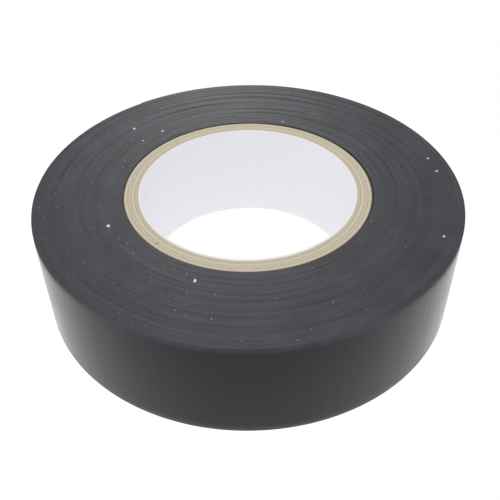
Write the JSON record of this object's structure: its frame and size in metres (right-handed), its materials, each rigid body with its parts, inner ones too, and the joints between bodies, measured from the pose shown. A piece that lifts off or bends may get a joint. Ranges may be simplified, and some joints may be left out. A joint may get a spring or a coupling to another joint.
{
  "type": "electrical tape roll",
  "caption": "Roll of black vinyl insulating tape wound flat on a paper core with a white-lined bore; its free end peels off the outside.",
  "frame": {"origin": "centre of the roll's lower end face, on the surface it lies on", "axes": "+Z along the roll's axis, up out of the upper end face; +Y towards the side where the free end is stuck down; the strip is wound counter-clockwise seen from +Z"},
  "size_m": [0.0738, 0.0739, 0.019],
  "materials": {
    "black_vinyl": "satin",
    "liner_paper": "satin",
    "grey_board": "matte",
    "kraft_paper": "matte"
  },
  "bodies": {
    "roll": {"tape_windings": "black_vinyl", "core_inner_liner": "liner_paper", "core_board_ply_1": "grey_board", "core_board_ply_2": "grey_board", "core_board_ply_3": "grey_board", "core_board_ply_4": "grey_board", "core_outer_wrap": "kraft_paper"},
    "end_1": {"free_end_1": "black_vinyl"},
    "end_2": {"free_end_2": "black_vinyl"},
    "end_3": {"free_end_3": "black_vinyl"},
    "end_4": {"free_end_4": "black_vinyl"},
    "end_5": {"free_end_5": "black_vinyl"},
    "end_6": {"free_end_6": "black_vinyl"}
  },
  "joints": [
    {"name": "peel_1", "type": "hinge", "parent": "roll", "child": "end_1", "pos_m": [0.02173, 0.02991, 0.0095], "axis": [0, 0, -1], "range_deg": [0, 40]},
    {"name": "peel_2", "type": "hinge", "parent": "end_1", "child": "end_2", "pos_m": [0.01504, 0.03378, 0.0095], "axis": [0, 0, -1], "range_deg": [0, 36]},
    {"name": "peel_3", "type": "hinge", "parent": "end_2", "child": "end_3", "pos_m": [0.00769, 0.03617, 0.0095], "axis": [0, 0, -1], "range_deg": [0, 30]},
    {"name": "peel_4", "type": "hinge", "parent": "end_3", "child": "end_4", "pos_m": [0, 0.03699, 0.0095], "axis": [0, 0, -1], "range_deg": [0, 24]},
    {"name": "peel_5", "type": "hinge", "parent": "end_4", "child": "end_5", "pos_m": [-0.00769, 0.03618, 0.0095], "axis": [0, 0, -1], "range_deg": [0, 16]},
    {"name": "peel_6", "type": "hinge", "parent": "end_5", "child": "end_6", "pos_m": [-0.01505, 0.0338, 0.0095], "axis": [0, 0, -1], "range_deg": [0, 12]}
  ],
  "couplings": [
    {"joint": "peel_2", "follows": "peel_1", "ratio": 0.9},
    {"joint": "peel_3", "follows": "peel_1", "ratio": 0.75},
    {"joint": "peel_4", "follows": "peel_1", "ratio": 0.6},
    {"joint": "peel_5", "follows": "peel_1", "ratio": 0.4},
    {"joint": "peel_6", "follows": "peel_1", "ratio": 0.3}
  ]
}
